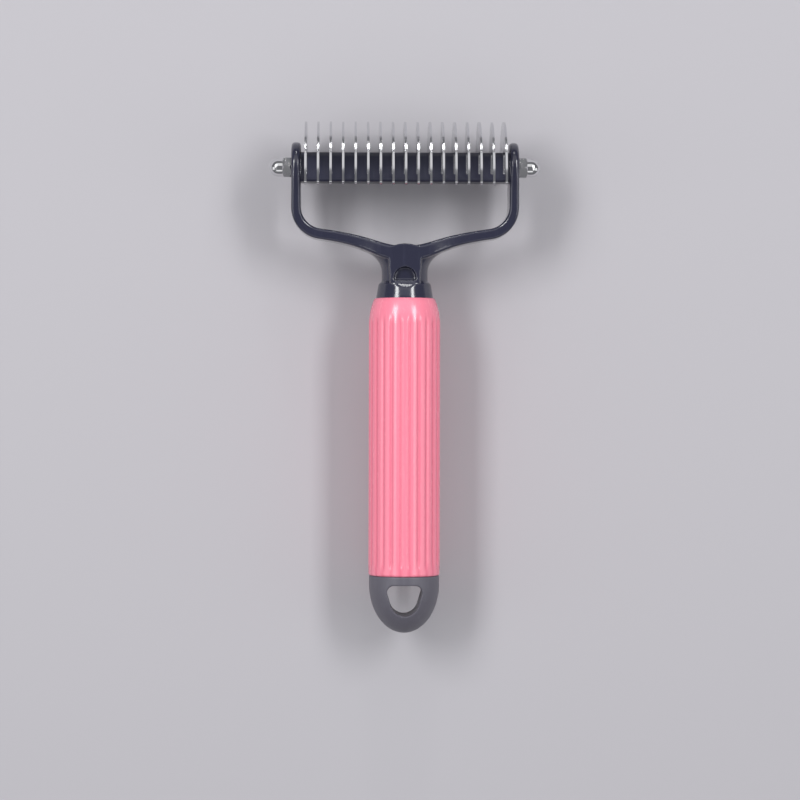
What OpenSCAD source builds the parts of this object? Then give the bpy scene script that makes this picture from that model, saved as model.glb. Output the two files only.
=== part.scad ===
// Two-sided dematting comb: a row of sickle blades strung on a threaded axle
// between the arms of a moulded yoke, over a fluted grip with a hanging eye.
// X runs along the axle, +Y from the grip towards the head, +Z to the fine side.
// The origin is half way along the comb, on the middle line of the grip.

/* [Head] */
// Gap between the middle of an outer blade and its arm
side_gap = 1.8; // [1.4:0.1:3]
// Thickness of an arm beside the axle
arm_t = 3.6; // [3:0.1:5]
// Radius of the round end of an arm
arm_end_r = 9.3; // [8.5:0.1:11]
// Width of an arm, front to back, at the shoulder
shoulder_d = 12.4; // [11:0.2:15]
// Drop from the axle to the middle of the shoulder
shoulder_drop = 24.4; // [22:0.2:27]
// Radius of the shoulder bend, on its middle line
shoulder_r = 9.8; // [8:0.2:12]
// Slope of the web where it leaves the shoulder, in degrees
web_slope = 8; // [4:1:12]
// Thickness of the web where it meets the neck
web_t = 5.6; // [5:0.1:7]
// Thickness of the web at the shoulder
shoulder_t = 3.9; // [3.6:0.1:5]
// Radius that rounds the edges of the yoke
edge_r = 1.3; // [0.8:0.1:1.6]

/* [Neck] */
// Drop from the axle to the top of the grip
grip_drop = 47.6; // [46:0.2:54]
// Length of the neck, from the middle of the web to the grip
neck_len = 15.9; // [14.5:0.1:17]
// Radius of the round neck above the collar
neck_r = 8.4; // [8:0.1:9.2]
// Height of the collar
collar_h = 6; // [5:0.1:7]
// Radius of the collar where it sits on the grip
collar_r = 10.5; // [9.8:0.1:10.8]
// Width of the flat front panel at its lower end
panel_w = 10.6; // [9.6:0.2:12]
// Width of the arched recess in the panel
arch_w = 8; // [6:0.2:8.6]
// Depth of the arched recess
arch_depth = 2.6; // [1:0.1:3]

/* [Blades] */
// Number of blades, an odd number
blade_count = 17; // [13:2:17]
// Distance from one blade to the next
blade_pitch = 4.5; // [4:0.05:5.2]
// Thickness of a blade
blade_t = 0.8; // [0.6:0.05:1.2]
// Radius of the outer curve of a blade
hook_r = 22; // [20:0.2:24]
// Height of the top of the blades above the axle
hook_rise = 16.8; // [15.6:0.1:18]
// Radius of the inner, cutting curve of a blade
throat_r = 8.95; // [8:0.05:9.6]
// Distance of the cutting curve's centre below the axle
throat_drop = 4.5; // [3.5:0.1:5.5]
// Distance of the blunt tip's centre below the axle
tip_drop = 6.1; // [4:0.1:7]
// How much higher the coarse side's hooks end than the fine side's
coarse_lift = 4; // [0:0.1:4.5]
// Radius of the blunt tip
tip_r = 1.6; // [1.2:0.1:1.8]
// Width of the ground bevel along the cutting edge
bevel_w = 1.5; // [0.8:0.1:2]
// Thickness left at the ground edge
edge_land = 0.2; // [0.1:0.05:0.4]

/* [Blade holder] */
// Height of the holder, along the comb
holder_h = 10.8; // [10:0.2:12]
// Depth of the holder, front to back
holder_d = 11; // [10:0.2:12]
// Radius along the long edges of the holder
holder_edge_r = 1.6; // [0.8:0.1:2]
// Thickness of the spine below the slots
spine_t = 2.8; // [2.2:0.1:3.2]
// Length of the square key at each end of the holder
key_len = 1.2; // [0.8:0.1:1.6]
// Side of the square key
key_w = 8; // [7:0.1:9]

/* [Axle and nuts] */
// Diameter of the axle's thread
axle_dia = 4; // [3:0.5:5]
// Width across the flats of a dome nut
nut_flats = 7; // [6.5:0.1:9]
// Height of the six-sided part of a dome nut
nut_hex_h = 3.2; // [2.8:0.1:4]
// Height of a whole dome nut
nut_h = 8; // [7:0.1:10]
// Diameter of the dome
dome_dia = 6.5; // [6.2:0.1:7.5]
// Depth of thread in a dome nut
nut_thread = 5.6; // [4.6:0.1:5.8]

/* [Grip] */
// Length of the grip
grip_len = 101; // [85:1:120]
// Diameter of the grip
grip_dia = 26; // [24:0.2:30]
// Diameter of the grip at its top
grip_top_dia = 22; // [21:0.2:23]
// Height of the rounded shoulder at the top of the grip
grip_shoulder = 9.5; // [7:0.5:14]
// Thickness of the grip's wall
grip_wall = 3; // [2.4:0.1:3.6]
// Number of flutes round the grip
flute_count = 24; // [16:2:30]
// Radius of a flute's cutter
flute_r = 1.2; // [0.9:0.1:1.4]
// Depth of a flute
flute_depth = 0.35; // [0.2:0.05:0.5]
// Smooth rim below the flutes
rim_h = 1.5; // [1:0.1:3]

/* [End cap] */
// Diameter of the end cap where it meets the grip
cap_dia = 25.6; // [24:0.2:26]
// Length of the end cap
cap_len = 21; // [18:0.5:26]
// Length of the end cap's straight part
cap_straight = 3.2; // [1:0.2:5]
// Length of the plug inside the grip
plug_len = 12; // [8:1:16]
// Distance from the grip down to the hanging eye
eye_drop = 3.3; // [2.6:0.1:4]
// Width of the hanging eye
eye_w = 12.6; // [10:0.2:14]
// Height of the hanging eye
eye_h = 10.8; // [9:0.2:12]

/* [Tang] */
// Width over the ribs of the tang inside the grip
tang_w = 14.6; // [12:0.2:15]
// Thickness of the tang's ribs
tang_rib = 3.2; // [2.4:0.2:4]
// Length of tang held inside the plug
tang_grab = 8; // [4:0.5:10]

/* [Fits] */
// Clearance of the axle in its holes, on the radius
axle_clear = 0.06; // [0.04:0.01:0.1]
// Clearance between thread and nut, on the radius
thread_clear = 0.05; // [0.02:0.01:0.1]
// Clearance on each side of a blade in its slot
slot_clear = 0.04; // [0.02:0.01:0.08]
// Clearance round the holder's keys, the tang and the plug
fit_clear = 0.1; // [0.05:0.01:0.15]

/* [Hidden] */
function blade_name(i) = str("blade_", i < 10 ? "0" : "", i);

$fn = 72;
eps = 0.01;

// Levels along Y
comb_len = hook_rise + grip_drop + grip_len + cap_len;
axle_y = comb_len / 2 - hook_rise;
grip_top_y = axle_y - grip_drop;
cap_top_y = grip_top_y - grip_len;

// Places along X
last_blade_x = blade_pitch * (blade_count - 1) / 2;
arm_inner_x = last_blade_x + side_gap;
arm_mid_x = arm_inner_x + arm_t / 2;
head_w = 2 * (arm_inner_x + arm_t);

// Yoke: reach of the web's curve, fillets of the neck, steps of the collar and panel
web_lead_share = 0.7;
web_pull_share = 0.4;
web_pull_rise = 1;
bend_share = 0.4;
bow_inset = 0.1;
fillet_w = 11;
fillet_h = 8.6;
fillet_gap = 3.4;
collar_lap = 1;
collar_step = 1.3;
collar_round = 1.6;
panel_out = neck_r + 0.15;
web_d = 2 * panel_out + 0.1;
panel_taper = 0.9;
panel_top_r = 12;
panel_rise = 3.8;
panel_top_y = neck_len - grip_drop + panel_rise;
arch_gap = 0.3;
arch_straight = 0.9;
arch_low_y = collar_h - grip_drop + arch_gap;
arch_mid_y = arch_low_y + arch_straight;

// Grip's lower edge and the back of a one-sided blade
grip_edge = 0.8;
back_out = 6;
back_r = back_out + holder_d / 2;

// Blades
hook_y = hook_rise - hook_r;
hub_back = -holder_h / 2 + spine_t;

// Axle
axle_r = axle_dia / 2;
nut_bore_r = axle_r + thread_clear;
nut_gap = 0.05;
thread_end_gap = 0.4;
axle_len = head_w + 2 * (nut_gap + nut_thread - thread_end_gap);

// Grip and plug
grip_r = grip_dia / 2;
bore_r = grip_r - grip_wall;
tang_hole_r = tang_w / 2 + fit_clear;
cap_r = cap_dia / 2;
tang_end_y = cap_top_y + plug_len - tang_grab;

// ---- helpers ----

function lerp(a, b, t) = a + (b - a) * t;
function smooth(t) = t * t * (3 - 2 * t);
function bezier(p, t) =
    pow(1 - t, 3) * p[0] + 3 * pow(1 - t, 2) * t * p[1] + 3 * (1 - t) * t * t * p[2] + pow(t, 3) * p[3];

// Points of an arc about a centre
function arc(centre, r, a0, a1, n) =
    [for (i = [0 : n]) let (a = lerp(a0, a1, i / n)) centre + r * [cos(a), sin(a)]];

// Rounded rectangle, w along the first axis and d along the second
function round_rect(w, d, r, n = 4) = let (q = min(r, w / 2, d / 2)) [
    for (c = [0 : 3]) let (
        side = [c == 0 || c == 3 ? 1 : -1, c < 2 ? 1 : -1],
        centre = [side[0] * (w / 2 - q), side[1] * (d / 2 - q)]
    ) each arc(centre, q, 90 * c, 90 * c + 90, n)
];

// Oval of half widths a and b; a power of 1 gives an ellipse and less squares it
function soft_oval(a, b, power, n) = [
    for (i = [0 : n - 1]) let (c = cos(360 * (i + 0.5) / n), s = sin(360 * (i + 0.5) / n))
        [a * sign(c) * pow(abs(c), power), b * sign(s) * pow(abs(s), power)]
];

// Outline round a loop of circles [x, y, r], listed anticlockwise
function tangent_angle(a, b) = let (d = [b[0] - a[0], b[1] - a[1]])
    atan2(d[1], d[0]) - acos((a[2] - b[2]) / norm(d));
function tangent_loop(c, n = 8) = [
    for (i = [0 : len(c) - 1]) let (
        here = c[i],
        a0 = tangent_angle(c[(i + len(c) - 1) % len(c)], here),
        a1 = tangent_angle(here, c[(i + 1) % len(c)])
    ) each arc([here[0], here[1]], here[2], a0, a1 < a0 ? a1 + 360 : a1, n)
];

// Closed skin through rings of equal length
module skin(rings) {
    m = len(rings[0]);
    last = len(rings) - 1;
    polyhedron(
        points = [for (ring = rings) each ring],
        faces = concat(
            [[for (i = [0 : m - 1]) i]],
            [for (k = [0 : last - 1]) for (i = [0 : m - 1])
                [k * m + (i + 1) % m, k * m + i, (k + 1) * m + i, (k + 1) * m + (i + 1) % m]],
            [[for (i = [m - 1 : -1 : 0]) last * m + i]]
        ),
        convexity = 6
    );
}

// Moves a shape drawn about the axle to the head
module at_axle() {
    translate([0, axle_y, 0]) children();
}

// Lies a revolved shape along Y, its profile's height upwards
module along_y() {
    rotate([-90, 0, 0]) children();
}

// Stands a flat shape drawn in Y and Z across X, with its thickness centred
module across_x(t) {
    rotate([90, 0, 90]) translate([0, 0, -t / 2]) linear_extrude(t) children();
}

// ---- yoke ----

// Middle line of the right half: down the arm, round the shoulder and in
bend_at = [arm_mid_x - shoulder_r, shoulder_r - shoulder_drop];
web_dir = [-cos(web_slope), -sin(web_slope)];
web_start = bend_at + shoulder_r * [-web_dir[1], web_dir[0]];
web_end = [0, neck_len - grip_drop];
web_span = web_start[0];
web_curve = [
    web_start,
    web_start + web_lead_share * web_span * web_dir,
    web_end + [web_pull_share * web_span, web_pull_rise],
    web_end
];
web_slope_at = function(t) let (d = bezier(web_curve, t + eps) - bezier(web_curve, t - eps)) d / norm(d);

// Stations [place, direction, u]: u is 0 at the axle, 1 past the bend, 2 at the neck
half_line = concat(
    [for (t = [0, 0.5]) [[arm_mid_x, bend_at[1] * t], [0, -1], t * bend_share]],
    [for (i = [0 : 10]) let (a = -(90 - web_slope) * i / 10)
        [bend_at + shoulder_r * [cos(a), sin(a)], [sin(a), -cos(a)], lerp(bend_share, 1, i / 10)]],
    [for (i = [1 : 11]) let (t = i / 12) [bezier(web_curve, t), web_slope_at(t), 1 + t]],
    [[web_end, [-1, 0], 2]]
);

// One rounded section of the bow, square to its middle line
function bow_ring(s, side) = let (
    u = smooth(s[2] % 1),
    t = s[2] >= 2 ? web_t : s[2] >= 1 ? lerp(shoulder_t, web_t, u) : lerp(arm_t - bow_inset, shoulder_t, u),
    d = s[2] >= 2 ? web_d : s[2] >= 1 ? lerp(shoulder_d, web_d, u)
        : lerp(2 * (arm_end_r - bow_inset), shoulder_d, u),
    across = [-s[1][1], s[1][0]]
) [for (p = round_rect(t, d, edge_r)) let (q = s[0] + p[0] * across) [side * q[0], q[1], p[1]]];

module bow() {
    last = len(half_line) - 1;
    skin(concat(
        [for (s = half_line) bow_ring(s, 1)],
        [for (i = [last - 1 : -1 : 0]) bow_ring(half_line[i], -1)]
    ));
}

// Round end of an arm, with its rim rounded like the arm's edges
module arm_end() {
    translate([-arm_t / 2, 0, 0]) rotate([0, 90, 0]) rotate_extrude()
        intersection() {
            translate([-arm_end_r, 0]) rounded_square(2 * arm_end_r, arm_t, edge_r);
            square([arm_end_r, arm_t]);
        }
}

module rounded_square(w, h, r) {
    translate([w / 2, h / 2]) polygon(round_rect(w, h, r, 8));
}

// Neck: the web's fillets draw in to a round stem
collar_top_y = collar_h - grip_drop;
neck_top_y = neck_len - grip_drop + web_t * 0.45;
neck_low_y = collar_top_y - collar_lap;
function neck_ring(y) = let (
    s = max(0, min(0.97, (y - collar_top_y - fillet_gap) / fillet_h)),
    flare = fillet_w * (1 - sqrt(1 - s * s)),
    power = lerp(1, 0.4, smooth(s))
) [for (p = soft_oval(neck_r + flare, neck_r, power, 32)) [p[0], y, p[1]]];

module neck() {
    skin([for (i = [0 : 12]) neck_ring(lerp(neck_top_y, neck_low_y, i / 12))]);
}

// Collar: a rounded shoulder, flaring down to the grip
module collar() {
    translate([0, -grip_drop, 0]) along_y() rotate_extrude()
        polygon(concat(
            [[0, 0], [collar_r, 0]],
            arc([neck_r + collar_step - collar_round, collar_h - collar_round], collar_round, 0, 90, 6),
            [[0, collar_h]]
        ));
}

// Flat panel on the neck, front and back, with a domed top
module panel() {
    wide = panel_w / 2 + panel_taper;
    intersection() {
        linear_extrude(2 * panel_out, center = true) intersection() {
            translate([0, panel_top_y - panel_top_r]) circle(r = panel_top_r);
            polygon([
                [-panel_w / 2, neck_low_y + 0.4], [panel_w / 2, neck_low_y + 0.4], [wide, neck_top_y],
                [wide, panel_top_y], [-wide, panel_top_y], [-wide, neck_top_y]
            ]);
        }
        translate([0, neck_low_y, 0]) along_y() cylinder(h = 2 * neck_len, r = collar_r - 0.5);
    }
}

// Arched recess, cut into both faces of the panel
module arches() {
    for (side = [-1, 1])
        translate([0, 0, side * panel_out])
            linear_extrude(2 * arch_depth, center = true) {
                translate([0, arch_mid_y]) circle(r = arch_w / 2);
                translate([-arch_w / 2, arch_low_y]) square([arch_w, arch_mid_y - arch_low_y]);
            }
}

// Cross-ribbed tang that the grip slides over
module tang() {
    tang_len = axle_y - grip_drop - tang_end_y;
    translate([0, -grip_drop - tang_len, 0]) along_y() {
        for (turn = [0, 90])
            rotate(turn) translate([-tang_w / 2, -tang_rib / 2, 0])
                cube([tang_w, tang_rib, tang_len + collar_lap]);
        cylinder(h = tang_len + collar_lap, r = tang_rib);
    }
}

module yoke() {
    pocket_w = key_w + 2 * fit_clear;
    color([0.13, 0.14, 0.2]) at_axle() difference() {
        union() {
            for (side = [-1, 1])
                translate([side * arm_mid_x, 0, 0]) arm_end();
            bow();
            neck();
            collar();
            panel();
            tang();
        }
        rotate([0, 90, 0]) cylinder(h = 2 * head_w, r = axle_r + axle_clear, center = true);
        for (side = [-1, 1])
            translate([side * arm_inner_x, 0, 0])
                cube([2 * (key_len + fit_clear), pocket_w, pocket_w], center = true);
        arches();
    }
}

// ---- grip ----

shoulder_round = (pow(grip_shoulder, 2) + pow(grip_r - grip_top_dia / 2, 2))
    / (2 * (grip_r - grip_top_dia / 2));

module grip() {
    color([0.98, 0.5, 0.6]) translate([0, cap_top_y, 0]) along_y() difference() {
        rotate_extrude() polygon(concat(
            [[bore_r, 0], [grip_r - grip_edge, 0]],
            arc([grip_r - grip_edge, grip_edge], grip_edge, -90, 0, 4),
            [for (i = [0 : 12]) let (a = asin(grip_shoulder / shoulder_round) * i / 12)
                [grip_r - shoulder_round * (1 - cos(a)), grip_len - grip_shoulder + shoulder_round * sin(a)]],
            [[tang_hole_r, grip_len], [tang_hole_r, grip_len - grip_wall],
             [grip_top_dia / 2 - grip_wall, grip_len - grip_wall], [bore_r, grip_len - grip_shoulder]]
        ));
        for (i = [0 : flute_count - 1])
            rotate(360 * (i + 0.5) / flute_count)
                translate([grip_r - flute_depth + flute_r, 0, rim_h])
                    cylinder(h = grip_len, r = flute_r, $fn = 24);
    }
}

// ---- end cap ----

dome_h = cap_len - cap_straight;

module eye_hole() {
    low_r = eye_w * 0.36;
    top_r = eye_w * 0.17;
    translate([0, -eye_drop, 0])
        linear_extrude(2 * cap_dia, center = true)
            polygon(tangent_loop([
                [0, low_r - eye_h, low_r],
                [eye_w / 2 - top_r, -top_r, top_r],
                [top_r - eye_w / 2, -top_r, top_r]
            ]));
}

module end_cap() {
    color([0.4, 0.4, 0.44]) translate([0, cap_top_y, 0]) difference() {
        along_y() rotate_extrude() polygon(concat(
            [for (i = [0 : 24]) let (a = -90 + 90 * i / 24)
                [cap_r * cos(a), -cap_straight + dome_h * sin(a)]],
            [[cap_r, 0], [bore_r - fit_clear, 0], [bore_r - fit_clear, plug_len],
             [tang_hole_r, plug_len], [tang_hole_r, 0], [0, 0]]
        ));
        eye_hole();
    }
}

// ---- blade holder ----

module blade_holder() {
    color([0.13, 0.14, 0.2]) at_axle() difference() {
        union() {
            across_x(2 * arm_inner_x) polygon(round_rect(holder_h, holder_d, holder_edge_r, 6));
            across_x(2 * (arm_inner_x + key_len)) square(key_w, center = true);
        }
        rotate([0, 90, 0]) cylinder(h = head_w, r = axle_r + axle_clear, center = true);
        for (i = [1 : blade_count])
            translate([blade_x(i), hub_back + holder_h / 2, 0])
                cube([blade_t + 2 * slot_clear, holder_h, 2 * holder_d], center = true);
    }
}

// ---- blades ----

function blade_x(i) = (i - 1) * blade_pitch - last_blade_x;

// A hook's tip touches the outer curve from inside and the cutting curve from outside
function tip_at(lift) = let (y = lift - tip_drop) [y, sqrt(pow(hook_r - tip_r, 2) - pow(y - hook_y, 2))];
function throat_at(lift) = let (y = lift - throat_drop, tip = tip_at(lift))
    [y, tip[1] - sqrt(pow(throat_r + tip_r, 2) - pow(tip[0] - y, 2))];

// Outline of one hook in Y and Z, to the front, clear of the holder's spine
module hook_shape(lift) {
    to_tip = tip_at(lift) - throat_at(lift);
    difference() {
        intersection() {
            translate([hook_y, 0]) circle(r = hook_r, $fn = 180);
            translate(throat_at(lift)) rotate(atan2(to_tip[1], to_tip[0]) - 90)
                translate([0, -hook_r]) square(2 * hook_r);
        }
        translate(throat_at(lift)) circle(r = throat_r, $fn = 120);
        translate([hub_back - hook_r, -hook_r]) square([hook_r, hook_r + holder_d / 2]);
    }
    translate(tip_at(lift)) circle(r = tip_r, $fn = 36);
}

// Back of a one-sided blade: a round shoulder above the holder
module back_trim() {
    translate([hook_rise - back_r, back_out]) circle(r = back_r, $fn = 120);
    translate([-hook_r, back_out]) square([2 * hook_r, hook_r]);
}

// Ground bevels: a cone cut into each face along the cutting curve
module bevels(lift) {
    for (side = [0, 1])
        mirror([side, 0, 0]) translate([edge_land / 2, throat_at(lift)[0], throat_at(lift)[1]])
            rotate([0, 90, 0])
                cylinder(h = blade_t, r1 = throat_r, $fn = 120,
                    r2 = throat_r + 2 * bevel_w * blade_t / (blade_t - edge_land));
}

// One hook to the front; a one-sided blade's hook has a rounded back
module hook(lift, one_sided = false) {
    difference() {
        across_x(blade_t) intersection() {
            hook_shape(lift);
            if (one_sided)
                back_trim();
            else
                translate([-hook_r, 0]) square([2 * hook_r, hook_r]);
        }
        bevels(lift);
    }
}

module blade(i) {
    two_sided = i % 2 == 1;
    color([0.8, 0.81, 0.83]) at_axle() translate([blade_x(i), 0, 0]) difference() {
        union() {
            hook(0, !two_sided);
            if (two_sided)
                mirror([0, 0, 1]) hook(coarse_lift);
            across_x(blade_t) translate([hub_back, -holder_d / 2])
                square([holder_h / 2 - hub_back, holder_d]);
        }
        rotate([0, 90, 0]) cylinder(h = 2 * blade_t, r = axle_r + axle_clear, center = true);
    }
}

// ---- axle and nuts ----

module axle() {
    chamfer = axle_dia * 0.12;
    color([0.7, 0.71, 0.72]) at_axle() translate([-axle_len / 2, 0, 0]) rotate([0, 90, 0])
        rotate_extrude() polygon([
            [0, 0], [axle_r - chamfer, 0], [axle_r, chamfer],
            [axle_r, axle_len - chamfer], [axle_r - chamfer, axle_len], [0, axle_len]
        ]);
}

module dome_nut(side) {
    corner_r = nut_flats / sqrt(3);
    chamfer = corner_r - nut_flats / 2;
    color([0.82, 0.83, 0.85]) at_axle()
        mirror([side < 0 ? 1 : 0, 0, 0]) translate([head_w / 2 + nut_gap, 0, 0]) rotate([0, 90, 0])
            difference() {
                union() {
                    intersection() {
                        cylinder(h = nut_hex_h, r = corner_r, $fn = 6);
                        rotate_extrude() polygon([
                            [0, 0], [corner_r - chamfer, 0], [corner_r, chamfer],
                            [corner_r, nut_hex_h - chamfer], [corner_r - chamfer, nut_hex_h], [0, nut_hex_h]
                        ]);
                    }
                    rotate_extrude() polygon(concat(
                        [[0, nut_hex_h / 2], [dome_dia / 2, nut_hex_h / 2]],
                        [for (i = [0 : 12]) let (a = 90 * i / 12)
                            [dome_dia / 2 * cos(a), nut_h - dome_dia / 2 * (1 - sin(a))]]
                    ));
                }
                translate([0, 0, -eps]) cylinder(h = nut_thread + eps, r = nut_bore_r);
            }
}

module nut_left() { dome_nut(-1); }
module nut_right() { dome_nut(1); }

yoke();
grip();
end_cap();
blade_holder();
axle();
nut_left();
nut_right();
for (i = [1 : blade_count])
    blade(i);
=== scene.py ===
# %% [markdown]
# # A two-sided dematting comb
#
# The comb is a row of sickle blades on a threaded axle, held between the arms of
# a moulded yoke. A fluted grip slides over the yoke's tang, and a grey cap with a
# hanging eye closes the grip. The frame gives the true place of every part, so each
# piece here is modelled at its real size, in metres, where the frame has it.

# %% Load the frame
import bmesh
import bpy
import math
from mathutils import Matrix, Vector


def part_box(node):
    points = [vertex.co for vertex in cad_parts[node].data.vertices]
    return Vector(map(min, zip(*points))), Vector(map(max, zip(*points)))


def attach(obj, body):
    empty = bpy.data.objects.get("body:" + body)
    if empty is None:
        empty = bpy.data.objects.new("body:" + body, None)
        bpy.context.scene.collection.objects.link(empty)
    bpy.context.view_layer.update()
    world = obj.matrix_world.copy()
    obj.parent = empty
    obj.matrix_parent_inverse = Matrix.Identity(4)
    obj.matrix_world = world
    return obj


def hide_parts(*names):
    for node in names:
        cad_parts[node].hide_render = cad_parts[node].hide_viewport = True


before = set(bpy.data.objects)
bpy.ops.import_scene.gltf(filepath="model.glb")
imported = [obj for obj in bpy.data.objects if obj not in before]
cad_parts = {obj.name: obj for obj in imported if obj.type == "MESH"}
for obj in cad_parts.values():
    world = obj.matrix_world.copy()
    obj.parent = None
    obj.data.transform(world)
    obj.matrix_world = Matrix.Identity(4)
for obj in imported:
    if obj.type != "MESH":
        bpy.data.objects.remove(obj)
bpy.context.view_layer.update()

# %% [markdown]
# ## Sizes
#
# Drawings of small moulded goods are in millimetres and Blender works in metres, so
# every length below is in millimetres and is multiplied by MM when it is used. Places
# along the comb are read from the frame's boxes: a piece then stays where it belongs
# when the frame changes.

# %% Levels and sizes read from the frame
MM = 0.001


def span(node, axis):
    """Lowest and highest place of a node along an axis, in millimetres"""
    low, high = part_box(node)
    return low[axis] / MM, high[axis] / MM


grip_low, grip_top = span("grip", 1)
cap_low = span("end_cap", 1)[0]
grip_radius = span("grip", 0)[1]
arm_outer = span("yoke", 0)[1]
axle_y = sum(span("nut_left", 1)) / 2
blade_count = sum(name.startswith("blade_") and name != "blade_holder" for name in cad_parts)
print("grip from %.1f to %.1f mm, axle at %.1f mm" % (grip_low, grip_top, axle_y))

# %% [markdown]
# ## Camera
#
# The comb lies flat and is seen from a metre straight above, a little from the left.
# A long lens at that distance keeps the arms parallel. Another way is an orthographic
# camera, but it would lose the slight lean of the blades near the ends of the row.

# %% Camera above the comb
VIEW_DISTANCE = 1.0
VIEW_WIDTH = 0.292
VIEW_CENTRE = (-0.0016, -0.0083)
VIEW_SIDE_STEP = -0.020
VIEW_ROLL = math.radians(0.12)

camera_data = bpy.data.cameras.new("camera")
camera_data.lens = camera_data.sensor_width * VIEW_DISTANCE / VIEW_WIDTH
camera = bpy.data.objects.new("camera", camera_data)
camera.location = (VIEW_CENTRE[0] + VIEW_SIDE_STEP, VIEW_CENTRE[1], VIEW_DISTANCE)
camera.rotation_euler = (0, math.atan2(VIEW_SIDE_STEP, VIEW_DISTANCE), VIEW_ROLL)
bpy.context.collection.objects.link(camera)
bpy.context.scene.camera = camera
print("lens %.0f mm" % camera_data.lens)

# %% [markdown]
# ## Floor and light
#
# Two soft boxes stand left and right of the comb, towards its head. They draw the two
# lights on the shoulder of the grip and on the collar, and two weaker boxes carry those
# lights on down the grip. Wide, weak panels beyond the head and the foot give the nuts
# and the blades something to mirror, while the sky straight above stays dim: chrome lit
# evenly from all sides looks like grey paint. A narrow strip, low beyond the head, is
# there for the collar's small facet. The floor is far larger than the view, so that its
# edge never shows.

# %% Floor
def srgb(red, green, blue):
    """A colour picked on screen, 0 to 255, as the linear colour that shaders use"""
    def linear(value):
        value /= 255
        return value / 12.92 if value <= 0.04045 else ((value + 0.055) / 1.055) ** 2.4
    return (linear(red), linear(green), linear(blue), 1)


FLOOR_COLOUR = srgb(188, 186, 191)
FLOOR_ROUGHNESS = 0.9
FLOOR_SIZE = 6.0
FLOOR_GAP = 0.4
floor_z = span("blade_09", 2)[0] - FLOOR_GAP

bpy.ops.object.select_all(action="DESELECT")
bpy.ops.mesh.primitive_plane_add(size=FLOOR_SIZE, location=(0, 0, floor_z * MM))
floor = bpy.context.object
floor.name = "floor"
floor_material = bpy.data.materials.new("floor_paper")
floor_material.use_nodes = True
floor_shader = floor_material.node_tree.nodes["Principled BSDF"]
floor_shader.inputs["Base Color"].default_value = FLOOR_COLOUR
floor_shader.inputs["Roughness"].default_value = FLOOR_ROUGHNESS
floor.data.materials.append(floor_material)
print("floor at %.1f mm" % floor_z)

# %% Soft boxes, panels and sky
def soft_box(name, direction, distance, size, power):
    """A rectangular lamp that faces the comb: distance and size in metres, power in watts"""
    lamp = bpy.data.lights.new(name, "AREA")
    lamp.shape = "RECTANGLE"
    lamp.size, lamp.size_y = size
    lamp.energy = power
    stand = bpy.data.objects.new(name, lamp)
    backwards = Vector(direction).normalized()
    across = Vector((0, 1, 0)).cross(backwards).normalized()
    along = backwards.cross(across)
    stand.location = backwards * distance
    stand.rotation_euler = Matrix((across, along, backwards)).transposed().to_euler()
    bpy.context.collection.objects.link(stand)


soft_box("soft_box_left", (-0.58, 0.36, 0.86), 1.2, (0.26, 0.62), 6.3)
soft_box("soft_box_right", (0.56, 0.36, 0.86), 1.2, (0.22, 0.58), 5.1)
soft_box("low_box_left", (-0.58, -0.13, 0.86), 1.2, (0.26, 0.5), 0.85)
soft_box("low_box_right", (0.56, -0.13, 0.86), 1.2, (0.22, 0.5), 0.85)
soft_box("head_panel", (0.0, 0.64, 0.77), 1.5, (1.5, 0.9), 3.0)
soft_box("head_strip", (0.02, 0.93, 0.37), 1.3, (0.075, 0.16), 0.75)
soft_box("foot_panel", (0.0, -0.675, 0.737), 1.5, (1.4, 0.5), 1.85)
soft_box("fill_left", (-1.0, -0.15, 0.55), 1.6, (1.0, 0.8), 2.2)
soft_box("fill_right", (1.0, -0.15, 0.55), 1.6, (1.0, 0.8), 2.2)

SKY_COLOUR = (0.93, 0.94, 1.0, 1)
SKY_STRENGTH = 0.20
sky = bpy.data.worlds.new("sky")
bpy.context.scene.world = sky
sky.use_nodes = True
sky_shader = sky.node_tree.nodes["Background"]
sky_shader.inputs["Color"].default_value = SKY_COLOUR
sky_shader.inputs["Strength"].default_value = SKY_STRENGTH
bpy.context.scene.view_settings.view_transform = "Standard"

# %% [markdown]
# ## Shared surface effects
#
# Every moulded piece shows a trace of the mould: a faint waviness and fine handling
# marks. Both go into shader node groups, made once and placed in each material with
# its own values. The groups put out only heights and masks. The shader itself stays in
# each material, because the finish of each plastic is its own.

# %% Helpers for shader node groups
def new_group(name, inputs, outputs):
    """An empty shader node group with named sockets

    inputs gives each socket's first value, or None for a vector; outputs names each socket.
    """
    group = bpy.data.node_groups.new(name, "ShaderNodeTree")
    for label, value in inputs.items():
        kind = "NodeSocketVector" if value is None else "NodeSocketFloat"
        socket = group.interface.new_socket(name=label, in_out="INPUT", socket_type=kind)
        if value is not None:
            socket.default_value = value
    for label in outputs:
        group.interface.new_socket(name=label, in_out="OUTPUT", socket_type="NodeSocketFloat")
    return group, group.nodes.new("NodeGroupInput"), group.nodes.new("NodeGroupOutput")


def add_node(tree, kind, settings=None, **values):
    """A node with its settings and input values

    A value may be another node's output. Its label is the input's name, with _ for a
    space, or i and the input's number where names repeat.
    """
    node = tree.nodes.new(kind)
    for label, value in (settings or {}).items():
        setattr(node, label, value)
    for label, value in values.items():
        key = int(label[1:]) if label[0] == "i" and label[1:].isdigit() else label.replace("_", " ")
        if isinstance(value, bpy.types.NodeSocket):
            tree.links.new(value, node.inputs[key])
        else:
            node.inputs[key].default_value = value
    return node


def maths(tree, operation, first, second=0.0, third=0.0):
    """The result of a Math node"""
    node = add_node(tree, "ShaderNodeMath", {"operation": operation}, i0=first, i1=second, i2=third)
    return node.outputs[0]


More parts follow.
